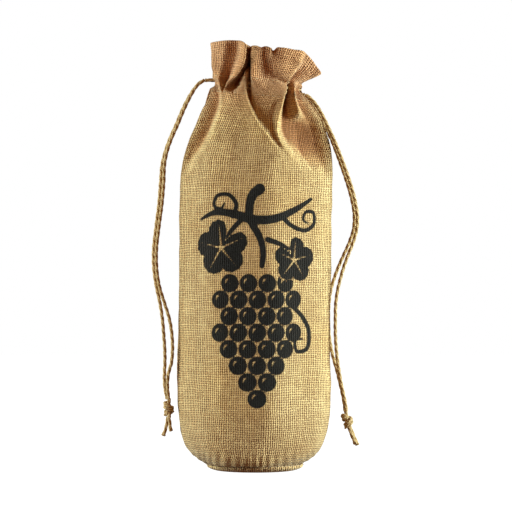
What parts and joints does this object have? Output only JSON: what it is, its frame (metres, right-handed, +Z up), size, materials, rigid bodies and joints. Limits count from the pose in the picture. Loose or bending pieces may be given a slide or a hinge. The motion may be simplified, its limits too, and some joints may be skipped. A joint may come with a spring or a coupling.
{
  "type": "wine gift bag",
  "caption": "Burlap wine gift bag on a round base, drawn in below a frilled top by two jute cords that leave it at the sides and hang down to overhand knots.",
  "frame": {"origin": "centre of the bag's base, on the surface that it stands on", "axes": "+Z up along the bag, +X towards the side where the frill flops over, -Y out of the printed front"},
  "size_m": [0.1699, 0.0892, 0.3516],
  "materials": {
    "burlap": "plain-weave natural jute burlap, matt, printed in black on the front",
    "burlap_inside": "plain-weave natural jute burlap, unprinted inner face",
    "twine": "plied natural jute cord, matt and slightly hairy",
    "thread": "matt sewing thread in the colour of the cloth"
  },
  "bodies": {
    "bag": {"front_panel": "burlap", "back_panel": "burlap", "base_disc": "burlap", "base_seam_allowance": "burlap_inside", "base_seam_thread": "thread", "left_side_seam": "burlap_inside", "right_side_seam": "burlap_inside", "front_casing_facing": "burlap_inside", "back_casing_facing": "burlap_inside", "upper_casing_thread": "thread", "lower_casing_thread": "thread", "left_cord_loop": "twine", "right_cord_loop": "twine"},
    "left_pull": {"left_cord_lead": "twine"},
    "left_tassel": {"left_front_strand": "twine", "left_back_strand": "twine", "left_knot": "twine", "left_cord_ends": "twine"},
    "right_pull": {"right_cord_lead": "twine"},
    "right_tassel": {"right_front_strand": "twine", "right_back_strand": "twine", "right_knot": "twine", "right_cord_ends": "twine"}
  },
  "joints": [
    {"name": "left_draw", "type": "slide", "parent": "bag", "child": "left_pull", "axis": [-1, 0, 0], "range_m": [0, 0.02]},
    {"name": "left_swing", "type": "hinge", "parent": "left_pull", "child": "left_tassel", "pos_m": [-0.041, 0, 0.319], "axis": [0, 1, 0], "range_deg": [0, 75]},
    {"name": "right_draw", "type": "slide", "parent": "bag", "child": "right_pull", "axis": [1, 0, 0], "range_m": [0, 0.02]},
    {"name": "right_swing", "type": "hinge", "parent": "right_pull", "child": "right_tassel", "pos_m": [0.041, 0, 0.307], "axis": [0, -1, 0], "range_deg": [0, 60]}
  ]
}
